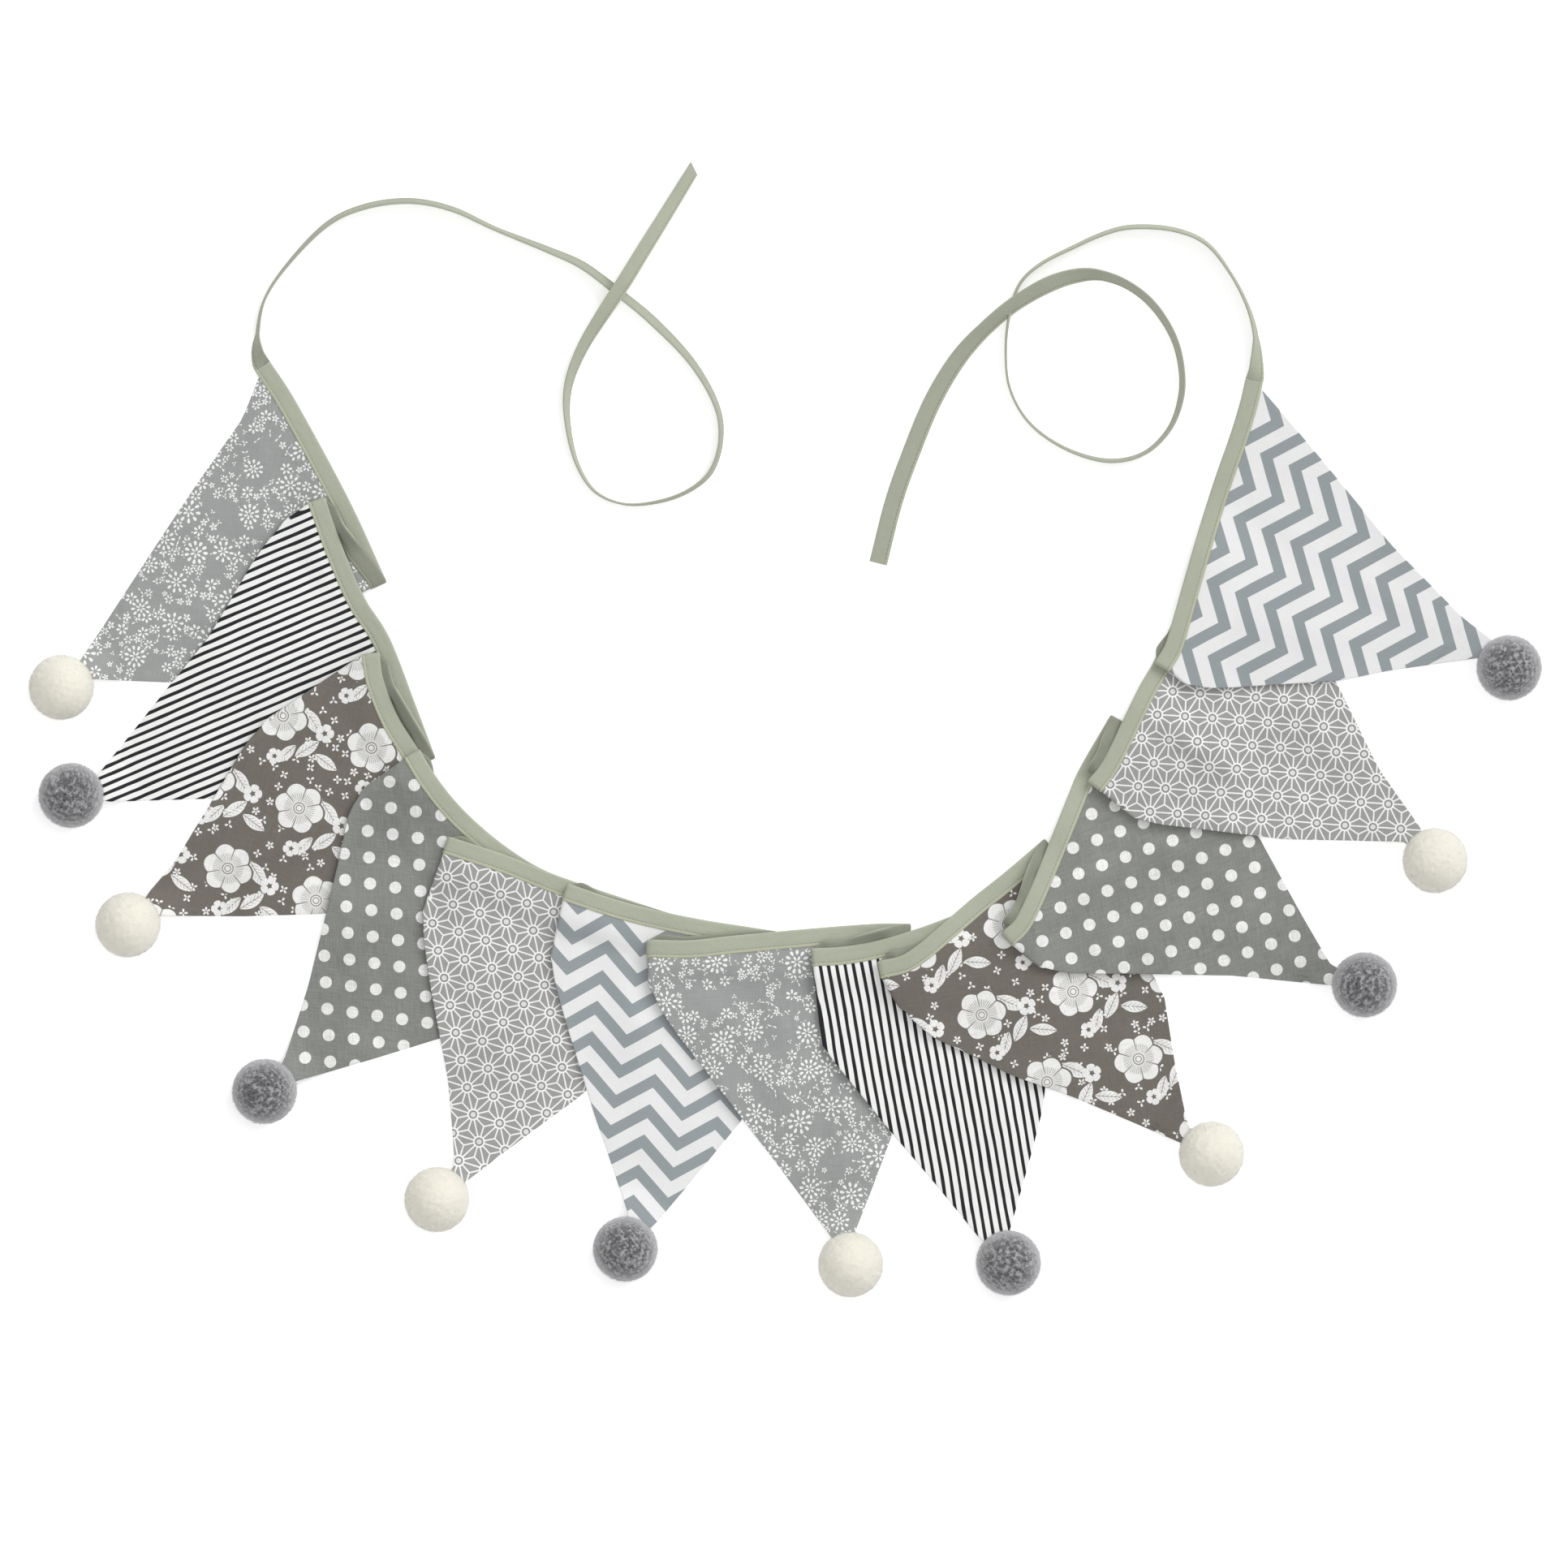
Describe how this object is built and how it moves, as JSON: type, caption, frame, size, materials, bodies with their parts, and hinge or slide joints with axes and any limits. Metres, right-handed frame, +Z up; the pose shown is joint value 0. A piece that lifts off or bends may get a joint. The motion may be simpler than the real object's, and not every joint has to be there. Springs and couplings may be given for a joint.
{
  "type": "fabric bunting",
  "caption": "String of pointed fabric pennants hung side by side from a folded bias binding that runs on into long ties, with a yarn pompom at the tip of each pennant.",
  "frame": {"origin": "middle of the bunting's box without its ties, on the surface it lies on", "axes": "+Z up from the surface, +X along the spread fan from its left end to its right end, +Y from the pennants' tips towards the free ties"},
  "size_m": [0.9282, 0.6954, 0.0369],
  "materials": {
    "sage_binding": "matte cotton",
    "sage_tie_left": "matte cotton",
    "sage_tie_right": "matte cotton",
    "cotton_ditsy_01": "matte printed cotton",
    "yarn_01": "matte yarn",
    "cotton_stripe_02": "matte printed cotton",
    "yarn_02": "matte yarn",
    "cotton_floral_03": "matte printed cotton",
    "yarn_03": "matte yarn",
    "cotton_dots_04": "matte printed cotton",
    "yarn_04": "matte yarn",
    "cotton_star_05": "matte printed cotton",
    "yarn_05": "matte yarn",
    "cotton_chevron_06": "matte printed cotton",
    "yarn_06": "matte yarn",
    "cotton_ditsy_07": "matte printed cotton",
    "yarn_07": "matte yarn",
    "cotton_stripe_08": "matte printed cotton",
    "yarn_08": "matte yarn",
    "cotton_floral_09": "matte printed cotton",
    "yarn_09": "matte yarn",
    "cotton_dots_10": "matte printed cotton",
    "yarn_10": "matte yarn",
    "cotton_star_11": "matte printed cotton",
    "yarn_11": "matte yarn",
    "cotton_chevron_12": "matte printed cotton",
    "yarn_12": "matte yarn"
  },
  "bodies": {
    "root": {"binding": "sage_binding", "tie_left": "sage_tie_left", "tie_right": "sage_tie_right", "pennant_01": "cotton_ditsy_01", "pompom_01": "yarn_01", "pennant_02": "cotton_stripe_02", "pompom_02": "yarn_02", "pennant_03": "cotton_floral_03", "pompom_03": "yarn_03", "pennant_04": "cotton_dots_04", "pompom_04": "yarn_04", "pennant_05": "cotton_star_05", "pompom_05": "yarn_05", "pennant_06": "cotton_chevron_06", "pompom_06": "yarn_06", "pennant_07": "cotton_ditsy_07", "pompom_07": "yarn_07", "pennant_08": "cotton_stripe_08", "pompom_08": "yarn_08", "pennant_09": "cotton_floral_09", "pompom_09": "yarn_09", "pennant_10": "cotton_dots_10", "pompom_10": "yarn_10", "pennant_11": "cotton_star_11", "pompom_11": "yarn_11", "pennant_12": "cotton_chevron_12", "pompom_12": "yarn_12"}
  },
  "joints": []
}
